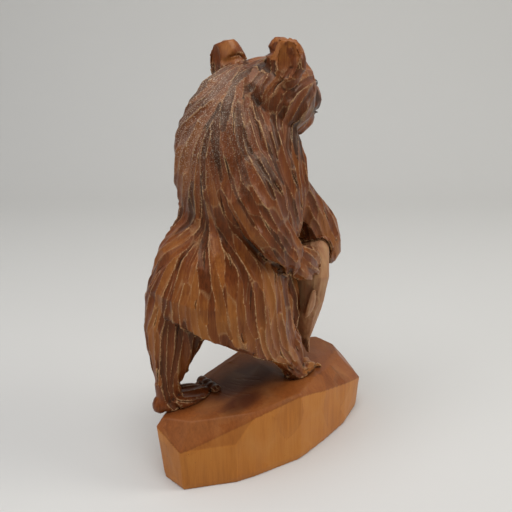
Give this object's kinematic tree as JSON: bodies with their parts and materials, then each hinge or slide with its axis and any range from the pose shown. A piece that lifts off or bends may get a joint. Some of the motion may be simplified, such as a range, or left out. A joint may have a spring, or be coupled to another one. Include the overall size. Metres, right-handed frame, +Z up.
{
  "type": "carved wooden figurine",
  "caption": "Hand-carved wooden bear figurine that strides upright on a knife-faceted plinth and hugs a salmon to its belly; a display ornament for a shelf or table.",
  "frame": {"origin": "middle of the object's bounding box at the level of the plinth's flat underside", "axes": "+Z up along the standing bear, -Y the way the bear walks along the plinth, +X the bear's left"},
  "size_m": [0.0962, 0.18, 0.2806],
  "materials": {
    "plinth_wood": "knife-faceted basswood, stained orange-brown and lacquered to a satin sheen",
    "bear_wood": "gouge-cut basswood, stained dark reddish brown, worn lighter on the ridges and dusty on top",
    "salmon_wood": "knife-smoothed basswood, stained and lacquered, greyer than the bear",
    "dowel_wood": "bare turned beech",
    "eye_glass": "polished dark brown glass bead",
    "eye_wire": "plain drawn steel wire"
  },
  "bodies": {
    "root": {"plinth": "plinth_wood", "bear": "bear_wood", "salmon": "salmon_wood", "salmon_peg": "dowel_wood", "left_foot_dowel": "dowel_wood", "right_foot_dowel": "dowel_wood", "left_eye": "eye_glass", "left_eye_wire": "eye_wire", "right_eye": "eye_glass", "right_eye_wire": "eye_wire"}
  },
  "joints": []
}
